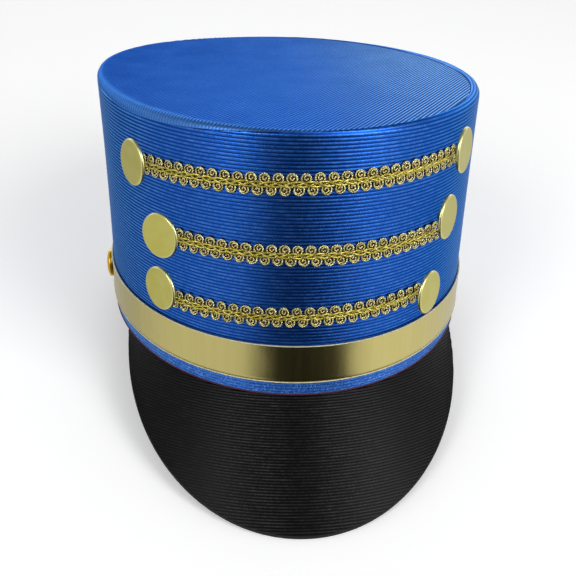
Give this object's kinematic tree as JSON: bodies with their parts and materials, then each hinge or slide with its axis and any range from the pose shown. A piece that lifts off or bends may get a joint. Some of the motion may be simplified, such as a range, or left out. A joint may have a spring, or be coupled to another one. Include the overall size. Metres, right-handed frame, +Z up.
{
  "type": "shako hat",
  "caption": "Costume shako: oval crown with a flat top that leans back, a ribbon band at its foot, rows of braid held by flat buttons, and a steep rounded peak.",
  "frame": {"origin": "on the surface that the hat stands on, under the middle of its outline", "axes": "+Z up, -Y the way the peak points, +X to the wearer's left; the hat stands on the edge of its peak and the back of its foot, laid back about 9 degrees"},
  "size_m": [0.1844, 0.279, 0.1347],
  "materials": {
    "crown_cloth": "corded satin, fine level ribs",
    "top_cloth": "corded satin, fine ribs across the top",
    "peak_cloth": "black corded cloth over stiff board",
    "gold_ribbon": "metallic foil ribbon, smooth and glossy",
    "gold_braid": "twisted metallic thread",
    "button_metal": "polished, faintly scratched"
  },
  "bodies": {
    "root": {"crown_wall": "crown_cloth", "crown_top": "top_cloth", "gold_band": "gold_ribbon", "peak": "peak_cloth", "braid_top": "gold_braid", "braid_middle": "gold_braid", "braid_bottom": "gold_braid", "button_left_top": "button_metal", "button_left_middle": "button_metal", "button_left_bottom": "button_metal", "button_right_top": "button_metal", "button_right_middle": "button_metal", "button_right_bottom": "button_metal", "side_button_left": "button_metal", "side_button_right": "button_metal"}
  },
  "joints": []
}
